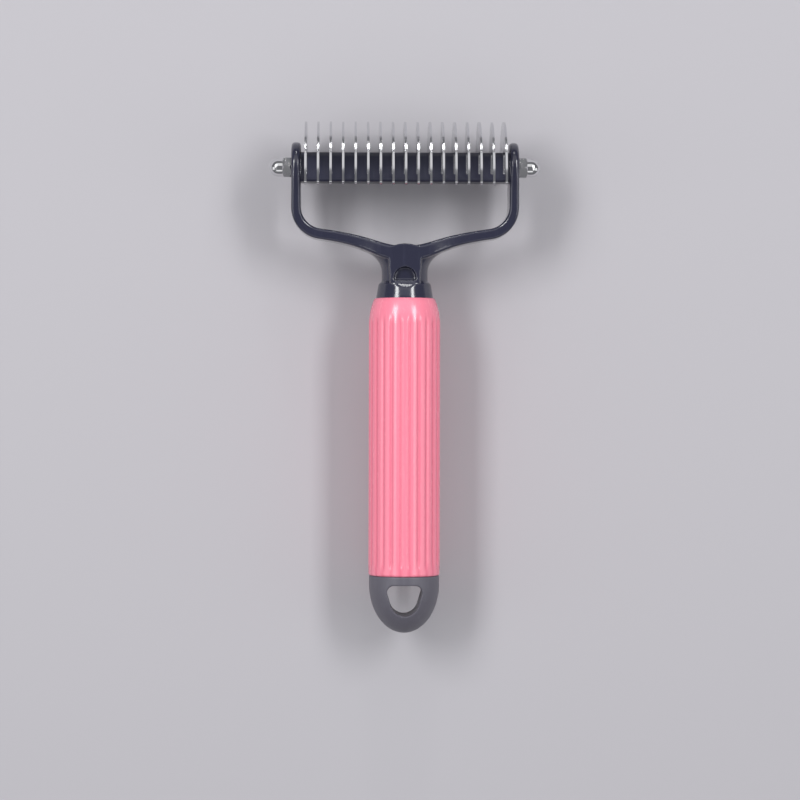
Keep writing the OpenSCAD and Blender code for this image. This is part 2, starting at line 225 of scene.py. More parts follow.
# %% Group: the waviness and fine grain of a moulding
moulding, inside, outside = new_group(
    "moulding_grain",
    {"Place": None, "Wave size": 90.0, "Wave depth": 0.5, "Grain size": 2600.0, "Grain depth": 0.15},
    ["Height"],
)
wave = add_node(moulding, "ShaderNodeTexNoise", Vector=inside.outputs["Place"],
                Scale=inside.outputs["Wave size"], Detail=1.0)
grain = add_node(moulding, "ShaderNodeTexNoise", Vector=inside.outputs["Place"],
                 Scale=inside.outputs["Grain size"], Detail=2.0)
wave_height = maths(moulding, "MULTIPLY", wave.outputs[0], inside.outputs["Wave depth"])
grain_height = maths(moulding, "MULTIPLY", grain.outputs[0], inside.outputs["Grain depth"])
moulding.links.new(maths(moulding, "ADD", wave_height, grain_height), outside.inputs["Height"])
print("group:", moulding.name)

# %% Group: fine marks left by handling and packing
marks, inside, outside = new_group(
    "handling_marks",
    {"Place": None, "Size": 700.0, "Amount": 0.5},
    ["Mask"],
)
stretched = add_node(marks, "ShaderNodeMapping", Vector=inside.outputs["Place"],
                     Scale=(1.0, 0.12, 1.0), Rotation=(0.2, 0.1, 0.5))
scuffs = add_node(marks, "ShaderNodeTexNoise", Vector=stretched.outputs[0],
                  Scale=inside.outputs["Size"], Detail=5.0, Roughness=0.7)
edge = add_node(marks, "ShaderNodeMapRange", Value=scuffs.outputs[0], From_Min=0.52, From_Max=0.74)
marks.links.new(maths(marks, "MULTIPLY", edge.outputs[0], inside.outputs["Amount"]), outside.inputs["Mask"])
print("group:", marks.name)

# %% [markdown]
# ## The plastics
#
# The yoke and blade holder are glossy black with a blue cast, the cap is a satin grey
# and the grip a soft pink. A moulded colour is even, so the noise changes it only
# slightly. What tells the eye that it is plastic is how roughness and bump vary.

# %% Helper: a moulded plastic
RELIEF_HEIGHT = 0.3
COAT_ROUGHNESS = 0.12


def moulded_plastic(name, colour, worn_colour, roughness, worn_roughness, wave_size, bump, coat=0.0):
    """A plastic with mould waviness, fine grain and handling marks"""
    material = bpy.data.materials.new(name)
    material.use_nodes = True
    tree = material.node_tree
    shader = tree.nodes["Principled BSDF"]
    place = add_node(tree, "ShaderNodeTexCoord").outputs["Object"]
    mould = add_node(tree, "ShaderNodeGroup", {"node_tree": moulding}, Place=place, Wave_size=wave_size)
    scuffs = add_node(tree, "ShaderNodeGroup", {"node_tree": marks}, Place=place)
    tint = add_node(tree, "ShaderNodeMix", {"data_type": "RGBA"}, Factor=scuffs.outputs["Mask"],
                    i6=colour, i7=worn_colour)
    tree.links.new(tint.outputs[2], shader.inputs["Base Color"])
    rough = add_node(tree, "ShaderNodeMapRange", Value=scuffs.outputs["Mask"],
                     To_Min=roughness, To_Max=worn_roughness)
    tree.links.new(rough.outputs[0], shader.inputs["Roughness"])
    relief = add_node(tree, "ShaderNodeBump", Strength=bump, Distance=RELIEF_HEIGHT * MM,
                      Height=mould.outputs["Height"])
    tree.links.new(relief.outputs[0], shader.inputs["Normal"])
    shader.inputs["Coat Weight"].default_value = coat
    shader.inputs["Coat Roughness"].default_value = COAT_ROUGHNESS
    return material, shader, tint, place


# %% Black, grey and holder plastics
black_plastic = moulded_plastic(
    "black_plastic", colour=srgb(42, 43, 62), worn_colour=srgb(56, 57, 76),
    roughness=0.16, worn_roughness=0.28, wave_size=60.0, bump=0.10, coat=0.6)[0]
holder_plastic = moulded_plastic(
    "holder_plastic", colour=srgb(46, 47, 66), worn_colour=srgb(66, 67, 84),
    roughness=0.28, worn_roughness=0.46, wave_size=80.0, bump=0.15)[0]
grey_plastic = moulded_plastic(
    "grey_plastic", colour=srgb(96, 94, 104), worn_colour=srgb(112, 110, 120),
    roughness=0.42, worn_roughness=0.56, wave_size=70.0, bump=0.20)[0]
print("plastics:", black_plastic.name, holder_plastic.name, grey_plastic.name)

# %% [markdown]
# ## The pink grip's colour
#
# The grip is a softer plastic with shallow flutes. Its grooves get painted shade: a deeper
# pink stands in for the shade that falls in them. The angle round the grip's own middle
# line gives a mask that repeats with the flutes, and the height along the grip lets it
# fade where the flutes run out on the shoulder.

# %% Pink plastic with painted shade in its grooves
FLUTE_COUNT = 24
FLUTE_TOP = grip_top - 5.5
FLUTE_FADE = 4.5
# Painted shade: a deeper pink that stands in for the shade in the flute grooves
GROOVE_SHADE_COLOUR = srgb(243, 122, 147)
GROOVE_SHADE_SHARPNESS = 2.0

pink_plastic, pink_shader, pink_tint, pink_place = moulded_plastic(
    "pink_plastic", colour=srgb(255, 141, 164), worn_colour=srgb(255, 152, 173),
    roughness=0.26, worn_roughness=0.36, wave_size=70.0, bump=0.12, coat=0.4)
tree = pink_plastic.node_tree
split = add_node(tree, "ShaderNodeSeparateXYZ", Vector=pink_place)
# The groove mask below says where the painted shade goes: most in each groove's middle, fading on the
# shoulder
angle = maths(tree, "ARCTAN2", split.outputs["X"], split.outputs["Z"])
from_groove = maths(tree, "ADD", angle, math.pi / FLUTE_COUNT)
groove = maths(tree, "COSINE", maths(tree, "MULTIPLY", from_groove, FLUTE_COUNT))
groove = maths(tree, "POWER", maths(tree, "MULTIPLY_ADD", groove, 0.5, 0.5), GROOVE_SHADE_SHARPNESS)
fade = add_node(tree, "ShaderNodeMapRange", {"interpolation_type": "SMOOTHSTEP"},
                Value=split.outputs["Y"], From_Min=(FLUTE_TOP - FLUTE_FADE) * MM,
                From_Max=FLUTE_TOP * MM, To_Min=1.0, To_Max=0.0)
groove = maths(tree, "MULTIPLY", groove, fade.outputs[0])
# Mixes the painted groove shade into the pink
deeper = add_node(tree, "ShaderNodeMix", {"data_type": "RGBA"}, Factor=groove,
                  i6=pink_tint.outputs[2], i7=GROOVE_SHADE_COLOUR)
tree.links.new(deeper.outputs[2], pink_shader.inputs["Base Color"])
print("pink plastic nodes:", len(tree.nodes))

# %% [markdown]
# ## The metals
#
# The blades are stamped stainless steel. Their flat sides carry fine grinding lines,
# and the cutting curve has a bright ground bevel. The dome nuts are chrome plated and
# almost a mirror. The axle is plain zinc-plated threaded rod.

# %% Group: grinding lines
grinding, inside, outside = new_group(
    "grinding_lines",
    {"Place": None, "Size": 900.0},
    ["Height"],
)
lines = add_node(grinding, "ShaderNodeMapping", Vector=inside.outputs["Place"], Scale=(0.3, 0.08, 1.6))
noise = add_node(grinding, "ShaderNodeTexNoise", Vector=lines.outputs[0],
                 Scale=inside.outputs["Size"], Detail=3.0)
grinding.links.new(noise.outputs[0], outside.inputs["Height"])
print("group:", grinding.name)

# %% Helper: a ground or plated metal
LINE_HEIGHT = 0.1


def metal(name, colour, roughness, worn_roughness, bump, line_size):
    """A metal with grinding lines and fine marks"""
    material = bpy.data.materials.new(name)
    material.use_nodes = True
    tree = material.node_tree
    shader = tree.nodes["Principled BSDF"]
    shader.inputs["Metallic"].default_value = 1.0
    shader.inputs["Base Color"].default_value = colour
    place = add_node(tree, "ShaderNodeTexCoord").outputs["Object"]
    ground = add_node(tree, "ShaderNodeGroup", {"node_tree": grinding}, Place=place, Size=line_size)
    scuffs = add_node(tree, "ShaderNodeGroup", {"node_tree": marks}, Place=place)
    rough = add_node(tree, "ShaderNodeMapRange", Value=scuffs.outputs["Mask"],
                     To_Min=roughness, To_Max=worn_roughness)
    tree.links.new(rough.outputs[0], shader.inputs["Roughness"])
    relief = add_node(tree, "ShaderNodeBump", Strength=bump, Distance=LINE_HEIGHT * MM,
                      Height=ground.outputs["Height"])
    tree.links.new(relief.outputs[0], shader.inputs["Normal"])
    return material


# %% Blade steel, chrome and axle steel
blade_steel = metal("blade_steel", colour=(0.66, 0.66, 0.68, 1),
                    roughness=0.17, worn_roughness=0.34, bump=0.30, line_size=900.0)
nut_chrome = metal("nut_chrome", colour=(0.74, 0.74, 0.75, 1),
                   roughness=0.07, worn_roughness=0.20, bump=0.05, line_size=400.0)
axle_steel = metal("axle_steel", colour=(0.62, 0.63, 0.64, 1),
                   roughness=0.32, worn_roughness=0.45, bump=0.25, line_size=700.0)
print("metals:", blade_steel.name, nut_chrome.name, axle_steel.name)

# %% [markdown]
# ## Modelling helpers
#
# The pieces are modelled with the same operators that the menus call. Operators act on
# what is selected, so each helper first clears the selection, and points and edges are
# picked in code by their place.

# %% Helpers: selection
def clear_selection():
    """Object mode, with nothing selected"""
    if bpy.context.object and bpy.context.object.mode != "OBJECT":
        bpy.ops.object.mode_set(mode="OBJECT")
    bpy.ops.object.select_all(action="DESELECT")


def work_on(piece):
    """Makes one piece the selected and active one"""
    clear_selection()
    piece.select_set(True)
    bpy.context.view_layer.objects.active = piece


def placed(name):
    """Names the newest primitive and writes its place into its mesh"""
    piece = bpy.context.object
    piece.name = name
    piece.data.name = name
    bpy.ops.object.transform_apply(location=True, rotation=True, scale=True)
    return piece


def edit(piece):
    """Opens a piece in edit mode with all of it selected"""
    work_on(piece)
    bpy.ops.object.mode_set(mode="EDIT")
    bpy.ops.mesh.select_all(action="SELECT")


def pick(test, domain="verts"):
    """In edit mode, selects the verts or edges whose middle, in millimetres, passes a test"""
    mesh = bmesh.from_edit_mesh(bpy.context.object.data)
    bpy.ops.mesh.select_all(action="DESELECT")
    count = 0
    for item in getattr(mesh, domain):
        middle = item.co if domain == "verts" else (item.verts[0].co + item.verts[1].co) / 2
        if test(middle / MM):
            item.select_set(True)
            count += 1
    mesh.select_flush(True)
    bmesh.update_edit_mesh(bpy.context.object.data)
    return count


# %% Helpers: modifiers
def finish_with(piece, kind, **settings):
    """Adds a modifier and applies it"""
    work_on(piece)
    modifier = piece.modifiers.new(kind.lower(), kind)
    for label, value in settings.items():
        setattr(modifier, label, value)
    bpy.ops.object.modifier_apply(modifier=modifier.name)


def carve(pieces, cutters):
    """Cuts every piece with every cutter, and then deletes the cutters"""
    for piece in pieces:
        for cutter in cutters:
            finish_with(piece, "BOOLEAN", operation="DIFFERENCE", solver="EXACT", object=cutter)
    for cutter in cutters:
        bpy.data.objects.remove(cutter, do_unlink=True)


def slice_off(point, direction):
    """In edit mode, drops what lies past a plane, given in millimetres, and closes the cut"""
    bpy.ops.mesh.select_all(action="SELECT")
    bpy.ops.mesh.bisect(plane_co=[value * MM for value in point], plane_no=direction,
                        clear_outer=True, use_fill=True)


def join(name, parts):
    """Joins several meshes into the first one"""
    clear_selection()
    for part in parts:
        part.select_set(True)
    bpy.context.view_layer.objects.active = parts[0]
    bpy.ops.object.join()
    parts[0].name = name
    parts[0].data.name = name
    return parts[0]


MERGE_DISTANCE = 0.01


def faces_outwards(piece):
    """Merges doubles and turns every face outwards"""
    edit(piece)
    bpy.ops.mesh.remove_doubles(threshold=MERGE_DISTANCE * MM)
    bpy.ops.mesh.normals_make_consistent(inside=False)
    bpy.ops.object.mode_set(mode="OBJECT")


def dress(piece, material, slot, body, *nodes):
    """Gives a finished piece its material and its body, and hides the nodes that it stands for; slot is not
    used
    """
    piece.data.materials.clear()
    piece.data.materials.append(material)
    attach(piece, body)
    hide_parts(*nodes)
    print("%s: %d faces" % (piece.name, len(piece.data.polygons)))


# %% Helper: a turned shape
def turned(name, profile, steps, capped=True):
    """A shape turned about the comb's middle line: a circle extruded from ring to ring"""
    clear_selection()
    radius, level = profile[0]
    bpy.ops.mesh.primitive_circle_add(vertices=steps, radius=radius * MM, fill_type="NOTHING",
                                      location=(0, level * MM, 0), rotation=(math.pi / 2, 0, 0))
    piece = placed(name)
    edit(piece)
    for (from_radius, from_level), (radius, level) in zip(profile, profile[1:]):
        bpy.ops.mesh.extrude_region_move(TRANSFORM_OT_translate={"value": (0, (level - from_level) * MM, 0)})
        ratio = radius / from_radius
        bpy.ops.transform.resize(value=(ratio, 1, ratio), center_override=(0, level * MM, 0))
    if capped:
        bpy.ops.mesh.select_all(action="SELECT")
        bpy.ops.mesh.fill_holes(sides=0)
    bpy.ops.object.mode_set(mode="OBJECT")
    faces_outwards(piece)
    return piece


def arc(centre, radius, start, end, steps):
    """Points of an arc, angles in degrees, as (radius, level) pairs"""
    points = []
    for step in range(steps + 1):
        turn = math.radians(start + (end - start) * step / steps)
        points.append((centre[0] + radius * math.cos(turn), centre[1] + radius * math.sin(turn)))
    return points


# %% [markdown]
# ## The fluted grip
#
# The grip is a thick tube with 24 shallow flutes that fade out on its rounded shoulder,
# and a plain rim at its lower end. Boolean cutters would leave sharp edges. Here a
# turned tube gets twelve points to a flute, and the points of each groove are scaled
# towards the middle line, most at its bottom and less at its sides. Every edge of a
# flute is then soft, as on a moulding.

# %% Grip: the tube
STEPS_PER_FLUTE = 12
RIM_HEIGHT, RIM_FADE, RIM_ROUND, RIM_DIP = 1.5, 4.2, 0.8, 0.3
RIM_STEP, RIM_STEPS = 0.7, 6
BODY_STEPS, SHOULDER_STEPS = 8, 17
SHOULDER_HEIGHT = 9.5
GRIP_TOP_RADIUS = 11.0
BORE_RADIUS = 10.0
TANG_HOLE_RADIUS = 7.4
WALL = 3.0
TOP_ROUND, TOP_CORNER, TOP_SWELL = 0.35, 0.1, 0.02

shoulder_drop = grip_radius - GRIP_TOP_RADIUS
shoulder_radius = (SHOULDER_HEIGHT ** 2 + shoulder_drop ** 2) / (2 * shoulder_drop)
shoulder_level = grip_top - SHOULDER_HEIGHT
rim_top = grip_low + RIM_HEIGHT
body_low = rim_top + RIM_FADE

grip_profile = [(BORE_RADIUS, grip_low)]
grip_profile += arc((grip_radius - RIM_ROUND, grip_low + RIM_ROUND), RIM_ROUND, -90, 0, 5)
grip_profile += [(grip_radius, rim_top - RIM_DIP)]
grip_profile += [(grip_radius, rim_top + RIM_STEP * step) for step in range(RIM_STEPS)]
grip_profile += [(grip_radius, body_low + (shoulder_level - body_low) * step / BODY_STEPS)
                 for step in range(BODY_STEPS)]
for step in range(SHOULDER_STEPS):
    turn = math.asin(SHOULDER_HEIGHT / shoulder_radius) * step / SHOULDER_STEPS
    grip_profile.append((grip_radius - shoulder_radius * (1 - math.cos(turn)),
                         shoulder_level + shoulder_radius * math.sin(turn)))
grip_profile += [(GRIP_TOP_RADIUS + TOP_SWELL, grip_top - TOP_ROUND),
                 (GRIP_TOP_RADIUS - TOP_CORNER, grip_top - TOP_CORNER),
                 (GRIP_TOP_RADIUS - TOP_ROUND, grip_top), (TANG_HOLE_RADIUS, grip_top),
                 (TANG_HOLE_RADIUS, grip_top - WALL), (GRIP_TOP_RADIUS - WALL, grip_top - WALL),
                 (BORE_RADIUS, shoulder_level), (BORE_RADIUS, grip_low)]

grip = turned("fluted_grip", grip_profile, FLUTE_COUNT * STEPS_PER_FLUTE, capped=False)
print("grip rings:", len(grip_profile))

# %% Grip: the flutes
FLUTE_DEPTH = 0.38
FLUTE_SIDES = 3
OUTER_SKIN = BORE_RADIUS + 0.2
LEVEL_SLACK = 0.01
NEARLY_FULL = 0.999
SMOOTH_ANGLE = math.radians(50)
step_angle = 2 * math.pi / (FLUTE_COUNT * STEPS_PER_FLUTE)


def ease(share):
    """A share from 0 to 1 that starts and stops softly"""
    return share * share * (3 - 2 * share)


def flute_strength(level):
    """How deep the flutes are at a level: 1 on the body, 0 at the rim and high on the shoulder"""
    from_rim = (level - rim_top) / RIM_FADE
    to_top = (FLUTE_TOP - level) / FLUTE_FADE
    return ease(max(0.0, min(1.0, from_rim, to_top)))


edit(grip)
ring_levels = sorted({round(level, 3) for radius, level in grip_profile if radius > OUTER_SKIN})
full_levels = [level for level in ring_levels if flute_strength(level) > NEARLY_FULL]
part_levels = [level for level in ring_levels if 0 < flute_strength(level) <= NEARLY_FULL]
for side in range(-FLUTE_SIDES, FLUTE_SIDES + 1):
    depth = FLUTE_DEPTH * math.cos(side / (FLUTE_SIDES + 1) * math.pi / 2) ** 2

    def in_groove(place):
        """Whether a place of the outer skin is this many steps beside a groove's middle"""
        steps = math.atan2(place.x, place.z) / step_angle - STEPS_PER_FLUTE / 2
        return (round(steps) - side) % STEPS_PER_FLUTE == 0 and math.hypot(place.x, place.z) > OUTER_SKIN

    for levels in [full_levels] + [[level] for level in part_levels]:
        low, high = levels[0] - LEVEL_SLACK, levels[-1] + LEVEL_SLACK
        pick(lambda place: low < place.y < high and in_groove(place))
        ratio = 1 - depth * flute_strength(levels[0]) / grip_radius
        bpy.ops.transform.resize(value=(ratio, 1, ratio), center_override=(0, 0, 0))
bpy.ops.object.mode_set(mode="OBJECT")
work_on(grip)
bpy.ops.object.shade_smooth_by_angle(angle=SMOOTH_ANGLE)
print("rings with full flutes:", len(full_levels), "with fading flutes:", len(part_levels))
dress(grip, pink_plastic, "pink_plastic", "comb", "grip")

# %% [markdown]
# ## The end cap
#
# The cap is half an egg with a hole for hanging. The dome is turned like the grip. The
# hole is a rounded triangle: three discs stand at its corners, and a convex hull wraps
# them into one cutter. A real moulding has no knife edge round such a hole, so the cut
# shape is rebuilt with even small faces and smoothed, which rolls the rim over.

# %% End cap: the dome
CAP_RADIUS, CAP_STRAIGHT, CAP_STEPS = 12.8, 3.2, 144
PLUG_RADIUS, PLUG_DEPTH = BORE_RADIUS - 0.1, 2.0
DOME_DEGREES = [89.5, 87] + list(range(84, -1, -4))

cap_top = grip_low
dome_top = cap_top - CAP_STRAIGHT
dome_height = dome_top - cap_low
cap_profile = []
for degrees in DOME_DEGREES:
    angle = math.radians(degrees)
    cap_profile.append((CAP_RADIUS * math.cos(angle), dome_top - dome_height * math.sin(angle)))
cap_profile += [(CAP_RADIUS, cap_top - CAP_STRAIGHT / 2), (CAP_RADIUS, cap_top),
                (PLUG_RADIUS, cap_top), (PLUG_RADIUS, cap_top + PLUG_DEPTH)]
cap = turned("end_cap_moulding", cap_profile, CAP_STEPS)
print("cap rings:", len(cap_profile))

# %% End cap: the hanging eye
EYE_DROP, EYE_WIDTH, EYE_HEIGHT = 3.2, 12.7, 11.2
EYE_LOW_RADIUS, EYE_TOP_RADIUS = EYE_WIDTH * 0.41, EYE_WIDTH * 0.20
CUTTER_DEPTH = 40.0

eye_top = cap_top - EYE_DROP
eye_corner = (EYE_WIDTH / 2 - EYE_TOP_RADIUS, eye_top - EYE_TOP_RADIUS)
discs = []
for x, y, radius in [(0, eye_top - EYE_HEIGHT + EYE_LOW_RADIUS, EYE_LOW_RADIUS),
                     (eye_corner[0], eye_corner[1], EYE_TOP_RADIUS),
                     (-eye_corner[0], eye_corner[1], EYE_TOP_RADIUS)]:
    clear_selection()
    bpy.ops.mesh.primitive_cylinder_add(vertices=64, radius=radius * MM, depth=CUTTER_DEPTH * MM,
                                        location=(x * MM, y * MM, 0))
    discs.append(placed("eye_disc"))
eye = join("eye_cutter", discs)
edit(eye)
bpy.ops.mesh.convex_hull()
bpy.ops.object.mode_set(mode="OBJECT")
carve([cap], [eye])
print("cap with its eye: %d faces" % len(cap.data.polygons))

# %% End cap: one soft skin
CAP_VOXEL, CAP_SMOOTHINGS = 0.28, 9
SMOOTH_FACTOR = 0.5

finish_with(cap, "REMESH", mode="VOXEL", voxel_size=CAP_VOXEL * MM, use_smooth_shade=True)
finish_with(cap, "SMOOTH", factor=SMOOTH_FACTOR, iterations=CAP_SMOOTHINGS)
faces_outwards(cap)
work_on(cap)
bpy.ops.object.shade_smooth()
dress(cap, grey_plastic, "grey_plastic", "comb", "end_cap")

# %% [markdown]
# ## The yoke
#
# The yoke is the comb's most shaped part: two flat arms sweep down and round into a
# web, which thickens and draws in to a round neck. It could be cut from one block, but
# its thickness and depth change all the way. So one rounded section is extruded along
# the curve, turned and scaled at each station, as a loft. The other half is its mirror.

# %% Yoke: sizes and the web's curve
ARM_THICKNESS, ARM_END_RADIUS = 3.6, 9.3
SHOULDER_DROP, SHOULDER_DEPTH, SHOULDER_THICKNESS = 24.4, 12.4, 3.9
BEND_RADIUS, WEB_SLOPE = 9.8, math.radians(8)
NECK_DROP, NECK_LENGTH, NECK_RADIUS = 47.6, 15.9, 8.4
WEB_THICKNESS, WEB_DEPTH, EDGE_RADIUS = 5.6, 17.2, 1.3
WEB_LEAD, WEB_PULL, WEB_RISE = 0.7, 0.4, 1.0

arm_middle = arm_outer - ARM_THICKNESS / 2
bend_centre = (arm_middle - BEND_RADIUS, axle_y - SHOULDER_DROP + BEND_RADIUS)
slope_x, slope_y = math.cos(WEB_SLOPE), math.sin(WEB_SLOPE)
web_start = (bend_centre[0] + BEND_RADIUS * slope_y, bend_centre[1] - BEND_RADIUS * slope_x)
web_end = (0.0, axle_y - NECK_DROP + NECK_LENGTH)
lead, pull = WEB_LEAD * web_start[0], WEB_PULL * web_start[0]
web_curve = [web_end, (web_end[0] + pull, web_end[1] + WEB_RISE),
             (web_start[0] - lead * slope_x, web_start[1] - lead * slope_y), web_start]
print("web from x = %.1f mm to the middle, %.1f mm lower" % (web_start[0], web_start[1] - web_end[1]))

# %% Yoke: stations of the sweep
WEB_STEPS, BEND_STEPS, ARM_STEPS = 24, 20, 6
PAST_MIDDLE = 1.5
DEEP_SHARE = 0.76
BEND_SHARE = 0.4
BOSS_STEP = 0.2


def blend(low, high, share):
    """A value part of the way from low to high"""
    return low + (high - low) * share


def on_curve(points, share):
    """Place and heading on a cubic curve"""
    rest = 1 - share
    weights = (rest ** 3, 3 * rest ** 2 * share, 3 * rest * share ** 2, share ** 3)
    place = [sum(weight * point[axis] for weight, point in zip(weights, points)) for axis in (0, 1)]
    slopes = (-3 * rest ** 2, 3 * rest ** 2 - 6 * rest * share,
              6 * rest * share - 3 * share ** 2, 3 * share ** 2)
    dx, dy = [sum(slope * point[axis] for slope, point in zip(slopes, points)) for axis in (0, 1)]
    return place, math.atan2(dy, dx)


def arm_section(left):
    """Thickness and depth of an arm where a share of the way up to the axle is left"""
    part = ease(1 - left)
    return (blend(SHOULDER_THICKNESS, ARM_THICKNESS - BOSS_STEP, part),
            blend(SHOULDER_DEPTH, 2 * ARM_END_RADIUS - BOSS_STEP, part))


stations = [((x, web_end[1]), 0.0, WEB_THICKNESS, WEB_DEPTH) for x in (-PAST_MIDDLE, web_end[0])]
for step in range(1, WEB_STEPS + 1):
    place, heading = on_curve(web_curve, step / WEB_STEPS)
    left = 1 - step / WEB_STEPS
    stations.append((place, heading, blend(SHOULDER_THICKNESS, WEB_THICKNESS, ease(left)),
                     blend(SHOULDER_DEPTH, WEB_DEPTH, ease(min(1, left / DEEP_SHARE)))))
for step in range(1, BEND_STEPS + 1):
    heading = blend(WEB_SLOPE, math.pi / 2, step / BEND_STEPS)
    place = (bend_centre[0] + BEND_RADIUS * math.sin(heading),
             bend_centre[1] - BEND_RADIUS * math.cos(heading))
    stations.append((place, heading, *arm_section(blend(1, BEND_SHARE, step / BEND_STEPS))))
for step in range(1, ARM_STEPS + 1):
    place = (arm_middle, blend(bend_centre[1], axle_y, step / ARM_STEPS))
    stations.append((place, math.pi / 2, *arm_section(blend(BEND_SHARE, 0, step / ARM_STEPS))))
print("stations:", len(stations))

# %% Yoke: the swept bow
CORNER_STEPS = 6

clear_selection()
bpy.ops.mesh.primitive_plane_add(size=1, rotation=(0, math.pi / 2, 0))
bow = placed("bow")
edit(bow)
(x, y), heading, thickness, depth = stations[0]
bpy.ops.transform.resize(value=(1, thickness * MM, depth * MM), center_override=(0, 0, 0))
bpy.ops.mesh.bevel(offset=EDGE_RADIUS * MM, segments=CORNER_STEPS, affect="VERTICES")
bpy.ops.mesh.select_all(action="SELECT")
bpy.ops.transform.translate(value=(x * MM, y * MM, 0))
for before, station in zip(stations, stations[1:]):
    old_place, old_heading, old_thickness, old_depth = before
    place, heading, thickness, depth = station
    centre = (place[0] * MM, place[1] * MM, 0)
    forward = ((place[0] - old_place[0]) * MM, (place[1] - old_place[1]) * MM, 0)
    bpy.ops.mesh.extrude_region_move(TRANSFORM_OT_translate={"value": forward})
    bpy.ops.transform.rotate(value=old_heading - heading, orient_axis="Z", center_override=centre)
    across, deep = thickness / old_thickness, depth / old_depth
    bpy.ops.transform.resize(value=(across, across, deep), center_override=centre)
bpy.ops.object.mode_set(mode="OBJECT")
faces_outwards(bow)
print("bow faces:", len(bow.data.polygons))

# %% [markdown]
# ### Round arm ends
#
# The nuts press on a flat round boss at the end of each arm. Inside, a square pocket
# holds the end of the blade holder, so that it can't turn. The boss is a disc with its
# two rims bevelled. Hole and pocket are cut with booleans, the surest way to go straight
# through arm and boss at once. Arm and web are made on one side only, and a mirror
# modifier adds the other side.

# %% Yoke: the round arm end
RIM_SHARE = 0.98

clear_selection()
bpy.ops.mesh.primitive_cylinder_add(vertices=128, radius=ARM_END_RADIUS * MM, depth=ARM_THICKNESS * MM,
                                    location=(arm_middle * MM, axle_y * MM, 0), rotation=(0, math.pi / 2, 0))
arm_end = placed("arm_end")


def on_rim(place):
    """Whether a place lies on one of the two rims of the arm's end"""
    outside = math.hypot(place.y - axle_y, place.z) > ARM_END_RADIUS * RIM_SHARE
    return outside and abs(abs(place.x - arm_middle) - ARM_THICKNESS / 2) < LEVEL_SLACK


edit(arm_end)
print("rim edges:", pick(on_rim, "edges"))
bpy.ops.mesh.bevel(offset=EDGE_RADIUS * MM, segments=CORNER_STEPS)
bpy.ops.object.mode_set(mode="OBJECT")

# %% Yoke: axle hole, key pocket and the other half
AXLE_HOLE_RADIUS = 2.06
POCKET_WIDTH, POCKET_DEPTH = 8.2, 1.3

clear_selection()
bpy.ops.mesh.primitive_cylinder_add(vertices=48, radius=AXLE_HOLE_RADIUS * MM, depth=CUTTER_DEPTH * MM,
                                    location=(arm_middle * MM, axle_y * MM, 0), rotation=(0, math.pi / 2, 0))
hole = placed("axle_hole")
clear_selection()
bpy.ops.mesh.primitive_cube_add(size=1, scale=(2 * POCKET_DEPTH * MM, POCKET_WIDTH * MM, POCKET_WIDTH * MM),
                                location=((arm_middle - ARM_THICKNESS / 2) * MM, axle_y * MM, 0))
pocket = placed("key_pocket")
carve([arm_end, bow], [hole, pocket])
half_yoke = join("half_yoke", [bow, arm_end])
finish_with(half_yoke, "MIRROR", use_axis=(True, False, False), use_mirror_merge=False)
print("mirrored bow faces:", len(half_yoke.data.polygons))

# %% [markdown]
# ### Neck, collar and panel
#
# The neck starts round at the collar and flares into the web. Each ring is extruded from
# the one below, widened, and then squared: the four mirrored points of a ring are scaled
# together, outwards most at its corners. The collar is turned, and a bisect cuts a small
# slanting facet on its front and back, where the panel runs out. The panel is a block
# with a narrowed foot and a domed top.

# %% Yoke: how the neck changes from ring to ring
COLLAR_HEIGHT = 6.0
FLARE_WIDTH, FLARE_HEIGHT, FLARE_START, FLARE_LIMIT = 11.0, 8.6, 3.4, 0.97
SQUARE_POWER = 0.4
THINNING, THINNING_LEAD = 3.0, 1.5
OVERLAP, WEB_OVERLAP = 1.0, 0.45
collar_base = axle_y - NECK_DROP
collar_top = collar_base + COLLAR_HEIGHT
neck_low, neck_top = collar_top - OVERLAP, web_end[1] + WEB_THICKNESS * WEB_OVERLAP


def neck_ring(level):
    """Half width, half depth and squareness of the neck at a level"""
    rise = max(0.0, min(FLARE_LIMIT, (level - collar_top - FLARE_START) / FLARE_HEIGHT))
    flare = FLARE_WIDTH * (1 - math.sqrt(1 - rise * rise))
    thin_low = web_end[1] - THINNING_LEAD
    past_web = max(0.0, (level - thin_low) / (neck_top - thin_low))
    return NECK_RADIUS + flare, NECK_RADIUS - THINNING * ease(past_web), blend(1, SQUARE_POWER, ease(rise))


print("neck from %.1f to %.1f mm" % (neck_low, neck_top))

# %% Yoke: the neck
NECK_POINTS, NECK_RINGS = 64, 26
POINT_SLACK = 0.02
TINY = 1e-6

neck_levels = [blend(neck_low, neck_top, ring / NECK_RINGS) for ring in range(NECK_RINGS + 1)]
neck = turned("neck", [(NECK_RADIUS, level) for level in neck_levels], NECK_POINTS)
edit(neck)
for level in neck_levels:
    width, depth, power = neck_ring(level)
    if width == NECK_RADIUS and power == 1:
        continue
    for quarter in range(NECK_POINTS // 4 + 1):
        turn = 2 * math.pi * quarter / NECK_POINTS
        cosine, sine = max(math.cos(turn), TINY), max(math.sin(turn), TINY)
        pick(lambda place: abs(place.y - level) < LEVEL_SLACK
             and abs(abs(place.x) - NECK_RADIUS * cosine) < POINT_SLACK
             and abs(abs(place.z) - NECK_RADIUS * sine) < POINT_SLACK)
        wider = width / NECK_RADIUS * cosine ** (power - 1)
        deeper = depth / NECK_RADIUS * sine ** (power - 1)
        bpy.ops.transform.resize(value=(wider, 1, deeper), center_override=(0, 0, 0))
bpy.ops.object.mode_set(mode="OBJECT")
print("neck faces:", len(neck.data.polygons))

# %% Yoke: the collar and its facets
COLLAR_RADIUS, COLLAR_STEP, COLLAR_ROUND = 10.5, 1.3, 1.6
COLLAR_STEPS = 128
FACET_SLOPE, FACET_DROP, FACET_OUT = math.radians(33), 1.7, 9.25

